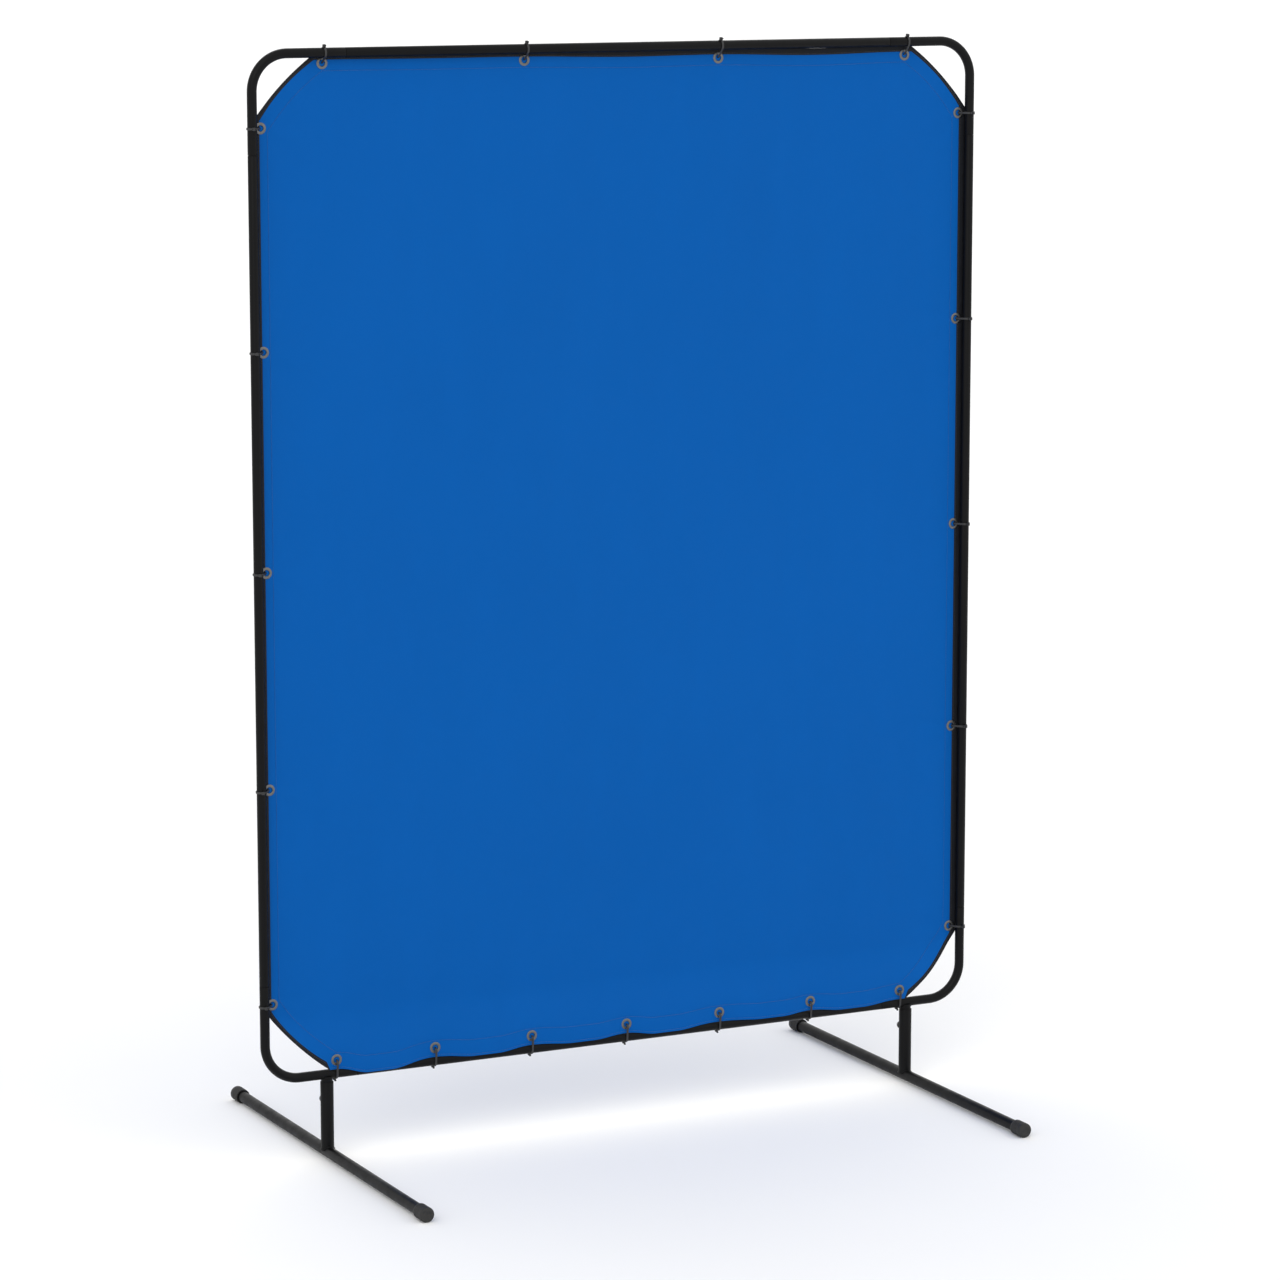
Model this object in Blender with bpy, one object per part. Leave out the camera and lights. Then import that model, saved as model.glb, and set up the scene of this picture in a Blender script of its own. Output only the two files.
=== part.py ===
"""Free-standing welding curtain screen: a vinyl curtain tied inside a round-tube frame on two T-feet.

Metres, +Z up, the front faces -Y. The origin is on the floor, under the middle of the screen.
"""

import math

import bmesh
import bpy
from mathutils import Matrix, Vector

# Clearances
GAP = 0.0003  # between pieces that touch on the real object
SAME_POINT = 0.000005  # points nearer than this are merged

# Frame: a rectangle of round tube, measured between tube centrelines
FRAME_WIDTH = 1.316
FRAME_HEIGHT = 1.675
TUBE_RADIUS = 0.008
TUBE_WALL = 0.0012
BEND_RADIUS = 0.060
CORNER_LEG = 0.160  # from the corner of the centrelines to the end of a corner tube
SWAGE_LENGTH = 0.035  # reduced rail end that goes into a corner tube
SWAGE_TAPER = 0.008
BEND_STEPS = 8
TUBE_SIDES = 16

# T-feet
FOOT_RADIUS = 0.0095
FOOT_WALL = 0.0012
FOOT_HALF_LENGTH = 0.410
FOOT_SIDES = 20
CAP_RADIUS = 0.0125
CAP_LENGTH = 0.030
CAP_END_WALL = 0.003
CAP_ROUNDING = 0.003
CAP_FLAT = 0.012  # from the foot tube's axis down to the caps' flat undersides
POST_X = 0.5495
POST_RADIUS = 0.011
POST_WALL = 0.0012
POST_SIDES = 24
RAIL_ABOVE_FOOT = 0.1315  # bottom rail's centreline above the foot tube's
POST_TOP_BELOW_RAIL = 0.012
SPIGOT_RADIUS = 0.00945
SPIGOT_WALL = 0.0015
SPIGOT_DEPTH = 0.075  # from the bottom rail's centreline to the spigot's lower end
SPIGOT_TOP_BELOW_RAIL = 0.004

# Clamp bolt, M6
BOLT_RADIUS = 0.003
BOLT_HEAD_FLATS = 0.010
BOLT_HEAD_HEIGHT = 0.004
BOLT_BELOW_RAIL = 0.045
BOSS_RADIUS = 0.007
BOSS_REACH = 0.017  # from the post's axis to the boss's face
WASHER_RADIUS = 0.0065
WASHER_THICKNESS = 0.0012
BOLT_SIDES = 12

# Curtain
SHEET_THICKNESS = 0.0012
SHEET_BACK = 0.009  # how far the sheet's middle lies behind the frame's centre plane
EDGE_SHORT = 0.001  # top and side edges stop this far short of the tube's centreline
BOTTOM_EDGE = 0.0105  # bottom edge above the bottom rail's centreline
CHAMFER = 0.112
CHAMFER_BULGE = 0.007
BEND_START = 0.105  # above the bottom rail, where the sheet starts to come forward
BEND_END = 0.037  # below this the sheet hangs straight above the rail
BEND_ROWS = 4
CHAMFER_STEPS = 4

# Grommets and cable ties
GROMMET_HOLE = 0.005
GROMMET_NECK = 0.006
GROMMET_RADIUS = 0.0095
GROMMET_FLANGE = 0.0008
GROMMET_IN = 0.016  # hole's centre in from the sheet's edge
GROMMET_SIDES = 12
END_TIE_X = 0.534
END_TIE_ALONG_SIDE = 0.005  # first side tie, beyond the end of the corner's cut
TIES_ACROSS = 4
TIES_UP = 5
TIE_WIDTH = 0.0036
TIE_THICKNESS = 0.0012
TIE_CLEARANCE = 0.0004
TIE_HEAD = (0.0050, 0.0042, 0.0046)
TOP_HEAD_TURN = math.radians(100)  # from the rear, round the tube, towards the outside of the frame
SIDE_HEAD_TURN = math.radians(172)
BOTTOM_HEAD_TURN = math.radians(65)
TIE_STEPS = 18

# Heights above the floor
FOOT_Z = CAP_FLAT
BOTTOM_RAIL_Z = FOOT_Z + RAIL_ABOVE_FOOT
TOP_RAIL_Z = BOTTOM_RAIL_Z + FRAME_HEIGHT

ALONG_X = Matrix.Rotation(math.pi / 2, 4, "Y")  # turns +Z to +X
ALONG_Y = Matrix.Rotation(-math.pi / 2, 4, "X")  # turns +Z to +Y
SIDES = (("left", -1), ("right", 1))
ENDS = (("front", -1), ("rear", 1))


def clear_scene():
    for old in list(bpy.data.objects):
        bpy.data.objects.remove(old, do_unlink=True)


def finish(name, colour, roughness, metallic):
    made = bpy.data.materials.new(name)
    made.use_nodes = True
    shader = made.node_tree.nodes["Principled BSDF"]
    shader.inputs["Base Color"].default_value = (*colour, 1.0)
    shader.inputs["Roughness"].default_value = roughness
    shader.inputs["Metallic"].default_value = metallic
    return made


def add_piece(name, mesh, location=(0, 0, 0), turn=None, parent=None):
    """A named object at a place, turned by a matrix, and parented where it moves with something."""
    piece = bpy.data.objects.new(name, mesh)
    bpy.context.scene.collection.objects.link(piece)
    piece.matrix_world = Matrix.Translation(location) @ (turn or Matrix.Identity(4))
    if parent:
        piece.parent = parent
        piece.matrix_parent_inverse = parent.matrix_world.inverted()
    return piece


def add_axis(name, location, parent=None):
    """An empty on a joint's axis."""
    axis = add_piece(name, None, location, parent=parent)
    bpy.context.view_layer.update()
    return axis


def to_mesh(name, shape, material, sharp=40):
    """Closes a bmesh into a mesh with its faces pointing out and its round faces smooth."""
    bmesh.ops.remove_doubles(shape, verts=shape.verts, dist=SAME_POINT)
    bmesh.ops.recalc_face_normals(shape, faces=shape.faces)
    mesh = bpy.data.meshes.new(name)
    shape.to_mesh(mesh)
    shape.free()
    mesh.shade_smooth()
    mesh.set_sharp_from_angle(angle=math.radians(sharp))
    mesh.materials.append(material)
    return mesh


def turned(profile, sides):
    """A closed outline of (radius, height) points, spun about Z."""
    shape = bmesh.new()
    points = [shape.verts.new((radius, 0, height)) for radius, height in profile]
    edges = [shape.edges.new((a, b)) for a, b in zip(points, points[1:] + points[:1])]
    bmesh.ops.spin(
        shape,
        geom=points + edges,
        cent=(0, 0, 0),
        axis=(0, 0, 1),
        angle=math.tau,
        steps=sides,
        use_merge=True,
    )
    bmesh.ops.remove_doubles(shape, verts=shape.verts, dist=SAME_POINT)
    bmesh.ops.recalc_face_normals(shape, faces=shape.faces)
    return shape


def pipe(outer, inner, low, high, sides):
    return turned([(outer, low), (outer, high), (inner, high), (inner, low)], sides)


def rod(radius, low, high, sides):
    shape = bmesh.new()
    bmesh.ops.create_cone(
        shape,
        cap_ends=True,
        segments=sides,
        radius1=radius,
        radius2=radius,
        depth=high - low,
        matrix=Matrix.Translation((0, 0, (low + high) / 2)),
    )
    return shape


def carved(name, base, steps, material):
    """The base shape after each (operation, shape, matrix) step, as one mesh."""
    base_mesh = to_mesh(name + "_base", base, material)
    work = bpy.data.objects.new(name + "_work", base_mesh)
    bpy.context.scene.collection.objects.link(work)
    helpers = [work]
    for operation, shape, matrix in steps:
        shape.transform(matrix)
        tool = bpy.data.objects.new(name + "_tool", to_mesh(name + "_tool", shape, material))
        bpy.context.scene.collection.objects.link(tool)
        helpers.append(tool)
        step = work.modifiers.new(operation.lower(), "BOOLEAN")
        step.operation = operation
        step.object = tool
    bpy.context.view_layer.update()
    graph = bpy.context.evaluated_depsgraph_get()
    mesh = bpy.data.meshes.new_from_object(work.evaluated_get(graph))
    for helper in helpers:
        bpy.data.objects.remove(helper, do_unlink=True)
    result = bmesh.new()
    result.from_mesh(mesh)
    bpy.data.meshes.remove(mesh)
    return to_mesh(name, result, material)


def corner_path():
    """(place, turn about Y) of each section: along the top leg, round the bend, down the side leg."""
    sections = [(Vector((CORNER_LEG, 0, 0)), 0.0)]
    for step in range(BEND_STEPS + 1):
        turn = math.pi / 2 * step / BEND_STEPS
        centre = Vector((BEND_RADIUS, 0, -BEND_RADIUS))
        out = Vector((-math.sin(turn), 0, math.cos(turn)))
        sections.append((centre + out * BEND_RADIUS, turn))
    sections.append((Vector((0, 0, -CORNER_LEG)), math.pi / 2))
    return sections


def corner_tube_mesh(material):
    """Hollow tube bent through a right angle, with its corner of centrelines at the origin."""
    shape = bmesh.new()
    walls = []
    for radius in (TUBE_RADIUS, TUBE_RADIUS - TUBE_WALL):
        rings = []
        for place, turn in corner_path():
            out = Vector((-math.sin(turn), 0, math.cos(turn)))
            ring = []
            for side in range(TUBE_SIDES):
                angle = math.tau * side / TUBE_SIDES
                offset = out * math.cos(angle) + Vector((0, 1, 0)) * math.sin(angle)
                ring.append(shape.verts.new(place + offset * radius))
            rings.append(ring)
        walls.append(rings)
    loops = walls[0] + walls[1][::-1]
    for ring, following in zip(loops, loops[1:] + loops[:1]):
        for side in range(TUBE_SIDES):
            after = (side + 1) % TUBE_SIDES
            shape.faces.new((ring[side], ring[after], following[after], following[side]))
    return to_mesh("corner_tube", shape, material)


def rail_mesh(name, length, material):
    """Straight tube about Z with a reduced, open end on each side. The full-size part has this length."""
    half = length / 2
    inner = TUBE_RADIUS - TUBE_WALL
    swage = inner - GAP
    swage_inner = swage - TUBE_WALL
    end = half + SWAGE_LENGTH
    upper = [(TUBE_RADIUS, half), (swage, half), (swage, end)]
    upper += [(swage_inner, end), (swage_inner, half), (inner, half - SWAGE_TAPER)]
    lower = [(radius, -height) for radius, height in reversed(upper)]
    return to_mesh(name, turned(upper + lower, TUBE_SIDES), material)


def spigot_mesh(material):
    """Short tube about Z, its upper end shaped to sit under the bottom rail. The rail's centreline is at 0."""
    inner = SPIGOT_RADIUS - SPIGOT_WALL
    base = pipe(SPIGOT_RADIUS, inner, -SPIGOT_DEPTH, -SPIGOT_TOP_BELOW_RAIL, POST_SIDES)
    rail = rod(TUBE_RADIUS + GAP, -0.03, 0.03, POST_SIDES)
    return carved("spigot", base, [("DIFFERENCE", rail, ALONG_X)], material)


def post_mesh(material):
    """Upright tube about Z with a round boss on its back. The foot tube's axis is at 0."""
    top = RAIL_ABOVE_FOOT - POST_TOP_BELOW_RAIL
    bolt = RAIL_ABOVE_FOOT - BOLT_BELOW_RAIL
    at_bolt = Matrix.Translation((0, 0, bolt)) @ ALONG_Y
    boss = rod(BOSS_RADIUS, 0.001, BOSS_REACH, POST_SIDES)
    bore = rod(POST_RADIUS - POST_WALL, -0.02, top + 0.02, POST_SIDES)
    bolt_hole = rod(BOLT_RADIUS + GAP, -0.0005, BOSS_REACH + 0.01, BOLT_SIDES)
    foot = rod(FOOT_RADIUS + GAP, -0.03, 0.03, FOOT_SIDES)
    steps = [
        ("UNION", boss, at_bolt),
        ("DIFFERENCE", bore, Matrix.Identity(4)),
        ("DIFFERENCE", bolt_hole, at_bolt),
        ("DIFFERENCE", foot, ALONG_Y),
    ]
    base = rod(POST_RADIUS, 0.004, top, POST_SIDES)
    return carved("post", base, steps, material)


def foot_tube_mesh(material):
    half = FOOT_HALF_LENGTH - CAP_END_WALL - GAP
    return to_mesh(
        "foot_tube", pipe(FOOT_RADIUS, FOOT_RADIUS - FOOT_WALL, -half, half, FOOT_SIDES), material
    )


def foot_cap_mesh(material):
    """Cup about Z that closes towards +Z, cut flat on the side that faces the floor, which is +Y here."""
    inner = FOOT_RADIUS + GAP
    floor = CAP_LENGTH - CAP_END_WALL
    profile = [(inner, 0), (CAP_RADIUS, 0), (CAP_RADIUS, CAP_LENGTH - CAP_ROUNDING)]
    for step in range(1, 4):
        angle = math.pi / 2 * step / 3
        radius = CAP_RADIUS - CAP_ROUNDING + CAP_ROUNDING * math.cos(angle)
        profile.append((radius, CAP_LENGTH - CAP_ROUNDING + CAP_ROUNDING * math.sin(angle)))
    profile += [(0, CAP_LENGTH), (0, floor), (inner, floor)]
    cup = turned(profile, FOOT_SIDES)
    below = bmesh.new()
    bmesh.ops.create_cube(below, size=0.1, matrix=Matrix.Translation((0, 0.05 + CAP_FLAT, 0)))
    return carved("foot_cap", cup, [("DIFFERENCE", below, Matrix.Identity(4))], material)


def clamp_bolt_mesh(material):
    """Hex bolt about Z: the head's underside is at 0 and the shank points to -Z."""
    under_head = BOSS_REACH + 2 * GAP + WASHER_THICKNESS
    tip = SPIGOT_RADIUS + GAP - under_head
    head = rod(BOLT_HEAD_FLATS / math.sqrt(3), 0, BOLT_HEAD_HEIGHT, 6)
    shank = rod(BOLT_RADIUS, tip, BOLT_HEAD_HEIGHT / 2, BOLT_SIDES)
    return carved("clamp_bolt", head, [("UNION", shank, Matrix.Identity(4))], material)


def washer_mesh(material):
    inner = BOLT_RADIUS + GAP
    return to_mesh("clamp_washer", pipe(WASHER_RADIUS, inner, 0, WASHER_THICKNESS, BOLT_SIDES), material)


def grommet_mesh(material):
    """Eyelet about Z, with a flange on each face of the sheet."""
    near = SHEET_THICKNESS / 2 + GAP
    far = near + GROMMET_FLANGE
    profile = [(GROMMET_HOLE, -far), (GROMMET_RADIUS, -far), (GROMMET_RADIUS, -near)]
    profile += [(GROMMET_NECK, -near), (GROMMET_NECK, near), (GROMMET_RADIUS, near)]
    profile += [(GROMMET_RADIUS, far), (GROMMET_HOLE, far)]
    return to_mesh("grommet", turned(profile, GROMMET_SIDES), material)


def taut_loop(rounds, steps):
    """(place, outward direction) round the tightest loop that encloses some circles in the YZ plane."""
    loop = []
    for step in range(steps):
        angle = math.tau * step / steps
        out = Vector((0, math.cos(angle), math.sin(angle)))
        centre, radius = max(rounds, key=lambda item: item[0].dot(out) + item[1])
        loop.append((centre + out * radius, out))
    return loop


def tie_mesh(name, rounds, head_angle, material):
    """Cable tie: a flat band in a closed loop round the tube, with its square head outside the loop."""
    shape = bmesh.new()
    rings = []
    for place, out in taut_loop(rounds, TIE_STEPS):
        ring = []
        for across, through in ((-1, -1), (1, -1), (1, 1), (-1, 1)):
            side = Vector((across * TIE_WIDTH / 2, 0, 0))
            ring.append(shape.verts.new(place + side + out * (through * TIE_THICKNESS / 2)))
        rings.append(ring)
    for ring, following in zip(rings, rings[1:] + rings[:1]):
        for corner in range(4):
            after = (corner + 1) % 4
            shape.faces.new((ring[corner], ring[after], following[after], following[corner]))
    out = Vector((0, math.cos(head_angle), math.sin(head_angle)))
    radius = rounds[0][1]
    head = bmesh.new()
    bmesh.ops.create_cube(head, size=1, matrix=Matrix.Diagonal((*TIE_HEAD, 1)))
    place = Matrix.Translation(out * (radius - TIE_THICKNESS / 2 + GAP + TIE_HEAD[2] / 2))
    turn = Matrix.Rotation(head_angle - math.pi / 2, 4, "X")
    return carved(name, shape, [("UNION", head, place @ turn)], material)


def back_tie_mesh(name, head_angle, material):
    """Tie of the top and side edges, where the sheet lies behind the tube. +Z points out of the frame."""
    round_tube = TUBE_RADIUS + TIE_CLEARANCE + TIE_THICKNESS / 2
    clear = TIE_CLEARANCE + TIE_THICKNESS / 2
    hole = -(EDGE_SHORT + GROMMET_IN)
    rounds = [
        (Vector((0, 0, 0)), round_tube),
        (Vector((0, SHEET_BACK + 0.0005, hole + 0.004)), 0.004),
        (Vector((0, SHEET_BACK + SHEET_THICKNESS / 2, -EDGE_SHORT)), clear),
    ]
    return tie_mesh(name, rounds, head_angle, material)


def bottom_tie_mesh(material):
    """Tie of the bottom edge, where the sheet hangs above the tube. +Z points out of the frame, down."""
    round_tube = TUBE_RADIUS + TIE_CLEARANCE + TIE_THICKNESS / 2
    hole = -(BOTTOM_EDGE + GROMMET_IN)
    rounds = [(Vector((0, 0, 0)), round_tube), (Vector((0, 0, hole + 0.006)), 0.006)]
    return tie_mesh("bottom_tie", rounds, BOTTOM_HEAD_TURN, material)


def sheet_depth(height):
    """How far the sheet's middle lies behind the frame's centre plane, this high above the bottom rail.

    The sheet is flat between the rows of its bend, so that each strip is a plane.
    """
    row = (height - BEND_END) / (BEND_START - BEND_END) * BEND_ROWS
    row = min(max(row, 0.0), float(BEND_ROWS))
    below = min(int(row), BEND_ROWS - 1)
    depths = []
    for share in (below / BEND_ROWS, (below + 1) / BEND_ROWS):
        depths.append(SHEET_BACK * share * share * (3 - 2 * share))
    return depths[0] + (depths[1] - depths[0]) * (row - below)


def bulged(start, end, bulge, steps):
    """Points from start up to but not including end, on a shallow arc that stands out to the right."""
    along = end - start
    out = Vector((along.z, 0, -along.x)).normalized()
    points = []
    for step in range(steps):
        share = step / steps
        points.append(start + along * share + out * (bulge * 4 * share * (1 - share)))
    return points


def sheet_outline():
    """The curtain's outline, anticlockwise from the front, about the frame's bottom centre."""
    side = FRAME_WIDTH / 2 - EDGE_SHORT
    top = FRAME_HEIGHT - EDGE_SHORT
    corners = [
        (side - CHAMFER, BOTTOM_EDGE),
        (side, BOTTOM_EDGE + CHAMFER),
        (side, top - CHAMFER),
        (side - CHAMFER, top),
        (CHAMFER - side, top),
        (-side, top - CHAMFER),
        (-side, BOTTOM_EDGE + CHAMFER),
        (CHAMFER - side, BOTTOM_EDGE),
    ]
    corners = [Vector((x, 0, z)) for x, z in corners]
    outline = []
    for cut in range(0, 8, 2):
        outline += bulged(corners[cut], corners[cut + 1], CHAMFER_BULGE, CHAMFER_STEPS)
        outline.append(corners[cut + 1])
    return outline


def sheet_mesh(holes, material):
    """The curtain as a thin slab, with a hole for each grommet."""
    shape = bmesh.new()
    shape.faces.new([shape.verts.new(point) for point in sheet_outline()])
    for row in range(BEND_ROWS + 1):
        height = BEND_END + (BEND_START - BEND_END) * row / BEND_ROWS
        bmesh.ops.bisect_plane(
            shape,
            geom=list(shape.verts) + list(shape.edges) + list(shape.faces),
            plane_co=(0, 0, height),
            plane_no=(0, 0, 1),
        )
    front = list(shape.faces)
    grown = bmesh.ops.extrude_face_region(shape, geom=front, use_keep_orig=True)
    moved = [item for item in grown["geom"] if isinstance(item, bmesh.types.BMVert)]
    for vert in shape.verts:
        vert.co.y = sheet_depth(vert.co.z) - SHEET_THICKNESS / 2
    for vert in moved:
        vert.co.y += SHEET_THICKNESS
    steps = []
    for x, height in holes:
        drill = rod(GROMMET_NECK + GAP, -0.01, 0.01, GROMMET_SIDES)
        place = Matrix.Translation((x, sheet_depth(height), height))
        steps.append(("DIFFERENCE", drill, place @ ALONG_Y))
    return carved("curtain", shape, steps, material)


def even(start, end, count):
    return [start + (end - start) * step / (count - 1) for step in range(count)]


def tie_places():
    """(name, x, height above the bottom rail, turn about Y) of each tie, at the tube's centreline."""
    first = BOTTOM_EDGE + CHAMFER + END_TIE_ALONG_SIDE
    last = FRAME_HEIGHT - EDGE_SHORT - CHAMFER - END_TIE_ALONG_SIDE
    places = []
    for number, x in enumerate(even(-END_TIE_X, END_TIE_X, TIES_ACROSS), 1):
        places.append((f"top_{number}", x, FRAME_HEIGHT, 0.0))
        places.append((f"bottom_{number}", x, 0.0, math.pi))
    for number, height in enumerate(even(first, last, TIES_UP), 1):
        for side, sign in SIDES:
            places.append((f"{side}_{number}", sign * FRAME_WIDTH / 2, height, sign * math.pi / 2))
    return places


def grommet_places():
    """(name, x, height above the bottom rail) of each grommet."""
    places = []
    for name, x, height, turn in tie_places():
        inward = Matrix.Rotation(turn, 4, "Y") @ Vector((0, 0, -1))
        reach = GROMMET_IN + (BOTTOM_EDGE if name.startswith("bottom") else EDGE_SHORT)
        places.append((name, x + inward.x * reach, height + inward.z * reach))
    return places


def build_frame(paint):
    corner = corner_tube_mesh(paint)
    quarter = math.pi / 2
    for turns, (name, x, z) in enumerate(
        (
            ("top_left", -1, TOP_RAIL_Z),
            ("top_right", 1, TOP_RAIL_Z),
            ("bottom_right", 1, BOTTOM_RAIL_Z),
            ("bottom_left", -1, BOTTOM_RAIL_Z),
        )
    ):
        place = (x * FRAME_WIDTH / 2, 0, z)
        add_piece(f"{name}_corner", corner, place, Matrix.Rotation(quarter * turns, 4, "Y"))
    across = rail_mesh("rail_across", FRAME_WIDTH - 2 * (CORNER_LEG + GAP), paint)
    upright = rail_mesh("rail_upright", FRAME_HEIGHT - 2 * (CORNER_LEG + GAP), paint)
    add_piece("top_rail", across, (0, 0, TOP_RAIL_Z), ALONG_X)
    add_piece("bottom_rail", across, (0, 0, BOTTOM_RAIL_Z), ALONG_X)
    middle = (TOP_RAIL_Z + BOTTOM_RAIL_Z) / 2
    spigot = spigot_mesh(paint)
    for side, sign in SIDES:
        add_piece(f"{side}_rail", upright, (sign * FRAME_WIDTH / 2, 0, middle))
        add_piece(f"{side}_spigot", spigot, (sign * POST_X, 0, BOTTOM_RAIL_Z))


def build_feet(paint, rubber, zinc):
    post = post_mesh(paint)
    foot_tube = foot_tube_mesh(paint)
    cap = foot_cap_mesh(rubber)
    washer = washer_mesh(zinc)
    bolt = clamp_bolt_mesh(zinc)
    cap_y = FOOT_HALF_LENGTH - CAP_LENGTH
    bolt_z = BOTTOM_RAIL_Z - BOLT_BELOW_RAIL
    washer_y = BOSS_REACH + GAP
    head_y = washer_y + WASHER_THICKNESS + GAP
    for side, sign in SIDES:
        x = sign * POST_X
        swivel = add_axis(f"{side}_foot_axis", (x, 0, FOOT_Z))
        add_piece(f"{side}_post", post, (x, 0, FOOT_Z), parent=swivel)
        add_piece(f"{side}_foot_tube", foot_tube, (x, 0, FOOT_Z), ALONG_Y, parent=swivel)
        for end, way in ENDS:
            turn = Matrix.Rotation(-math.pi / 2 * way, 4, "X")
            if way < 0:
                turn = turn @ Matrix.Rotation(math.pi, 4, "Z")
            add_piece(f"{side}_{end}_cap", cap, (x, way * cap_y, FOOT_Z), turn, parent=swivel)
        screw = add_axis(f"{side}_bolt_axis", (x, washer_y, bolt_z), parent=swivel)
        add_piece(f"{side}_clamp_washer", washer, (x, washer_y, bolt_z), ALONG_Y, parent=screw)
        add_piece(f"{side}_clamp_bolt", bolt, (x, head_y, bolt_z), ALONG_Y, parent=screw)


def build_curtain(vinyl, nickel, nylon):
    grommets = grommet_places()
    sheet = sheet_mesh([(x, height) for _, x, height in grommets], vinyl)
    add_piece("curtain", sheet, (0, 0, BOTTOM_RAIL_Z))
    eyelet = grommet_mesh(nickel)
    for name, x, height in grommets:
        place = (x, sheet_depth(height), BOTTOM_RAIL_Z + height)
        add_piece(f"{name}_grommet", eyelet, place, ALONG_Y)
    side_tie = back_tie_mesh("side_tie", SIDE_HEAD_TURN, nylon)
    ties = {"top": back_tie_mesh("top_tie", TOP_HEAD_TURN, nylon), "bottom": bottom_tie_mesh(nylon)}
    for name, x, height, turn in tie_places():
        tie = ties.get(name.split("_")[0], side_tie)
        place = (x, 0, BOTTOM_RAIL_Z + height)
        add_piece(f"{name}_tie", tie, place, Matrix.Rotation(turn, 4, "Y"))


def main():
    clear_scene()
    paint = finish("black_powder_coat", (0.012, 0.012, 0.013), 0.42, 0.0)
    rubber = finish("black_rubber", (0.015, 0.015, 0.015), 0.75, 0.0)
    zinc = finish("zinc_plate", (0.62, 0.63, 0.65), 0.35, 1.0)
    nickel = finish("nickel_plate", (0.60, 0.58, 0.54), 0.30, 1.0)
    nylon = finish("black_nylon", (0.014, 0.014, 0.014), 0.50, 0.0)
    vinyl = finish("blue_vinyl", (0.0015, 0.112, 0.440), 0.45, 0.0)
    build_frame(paint)
    build_feet(paint, rubber, zinc)
    build_curtain(vinyl, nickel, nylon)


main()
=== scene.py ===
"""Welding curtain screen: a blue vinyl curtain tied inside a round-tube frame on two T-feet.

Metres, +Z up, and the front faces -Y. Every place comes from the frame's own boxes.
"""

import functools
import math

import bmesh
import bpy
from bpy.props import FloatProperty, FloatVectorProperty, IntProperty, PointerProperty
from mathutils import Matrix, Vector, noise


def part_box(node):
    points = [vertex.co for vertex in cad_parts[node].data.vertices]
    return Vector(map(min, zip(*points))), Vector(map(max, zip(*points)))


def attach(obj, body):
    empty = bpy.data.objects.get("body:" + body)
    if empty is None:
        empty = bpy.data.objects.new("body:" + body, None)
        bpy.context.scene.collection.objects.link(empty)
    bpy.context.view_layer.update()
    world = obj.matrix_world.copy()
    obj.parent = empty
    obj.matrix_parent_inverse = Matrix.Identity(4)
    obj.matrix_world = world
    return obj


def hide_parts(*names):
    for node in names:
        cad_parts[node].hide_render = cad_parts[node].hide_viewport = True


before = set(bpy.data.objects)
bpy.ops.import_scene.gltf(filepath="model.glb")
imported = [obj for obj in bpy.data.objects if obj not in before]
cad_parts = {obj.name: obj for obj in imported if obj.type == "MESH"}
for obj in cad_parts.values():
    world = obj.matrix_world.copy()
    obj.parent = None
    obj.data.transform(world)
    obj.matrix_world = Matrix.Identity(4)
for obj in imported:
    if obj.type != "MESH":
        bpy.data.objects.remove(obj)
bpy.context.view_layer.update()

bl_info = {
    "name": "Welding Curtain Screen",
    "version": (1, 0, 0),
    "blender": (4, 5, 0),
    "location": "3D View > Sidebar > Welding Screen",
    "description": "Adds the pieces of a welding curtain screen round its frame",
    "category": "Add Mesh",
}


@functools.cache
def centre(node):
    low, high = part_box(node)
    return (low + high) / 2


@functools.cache
def size(node):
    low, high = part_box(node)
    return high - low


# Places read from the frame
TOP = centre("top_rail").z
BOTTOM = centre("bottom_rail").z
RIGHT = centre("right_rail").x
TUBE = size("top_rail").z / 2
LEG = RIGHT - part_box("top_right_corner")[0].x
POST_X = centre("right_post").x
POST = size("right_post").x / 2
POST_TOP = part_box("right_post")[1].z
SPIGOT = size("right_spigot").x / 2
FOOT_Z = centre("right_foot_tube").z
FOOT = size("right_foot_tube").x / 2
FOOT_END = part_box("right_foot_tube")[1].y
CAP_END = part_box("right_rear_cap")[1].y
CAP_LENGTH = size("right_rear_cap").y
CAP = size("right_rear_cap").x / 2
BOLT_Z = centre("right_clamp_bolt").z
BOSS = 0.007  # radius of the boss on the post
BOLT_BORE = 0.0033
BOLT = 0.003
BOLT_PITCH = 0.001
GROMMET_HOLE = 0.005
PUNCHED_HOLE = 0.0056
BORE_DEPTH = 0.036  # how far the bore of a corner tube is modelled
STRAIGHT_END = 0.02  # last straight stretch of a corner tube
BOSS_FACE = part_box("right_post")[1].y
WASHER = size("right_clamp_washer").x / 2
WASHER_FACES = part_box("right_clamp_washer")[0].y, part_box("right_clamp_washer")[1].y
HEAD_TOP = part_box("right_clamp_bolt")[1].y
BOLT_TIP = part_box("right_clamp_bolt")[0].y
SHEET_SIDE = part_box("curtain")[1].x
SHEET_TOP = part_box("curtain")[1].z - BOTTOM
SHEET_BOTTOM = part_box("curtain")[0].z - BOTTOM
SHEET_BACK = centre("left_3_grommet").y
GAP = 0.0003  # clearance between pieces that fit together
SIDES = (("left", -1), ("right", 1))
ENDS = (("front", -1), ("rear", 1))
TOP_TIES = [f"top_{number}" for number in range(1, 5)]
BOTTOM_TIES = [f"bottom_{number}" for number in range(1, 5)]
SIDE_TIES = [f"{side}_{number}" for side, _ in SIDES for number in range(1, 6)]
TOP_COLUMNS = [centre(f"{name}_grommet").x for name in TOP_TIES]

ALONG_X = Matrix.Rotation(math.pi / 2, 4, "Y")  # turns +Z to +X
ALONG_Y = Matrix.Rotation(-math.pi / 2, 4, "X")  # turns +Z to +Y


# Settings


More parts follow.
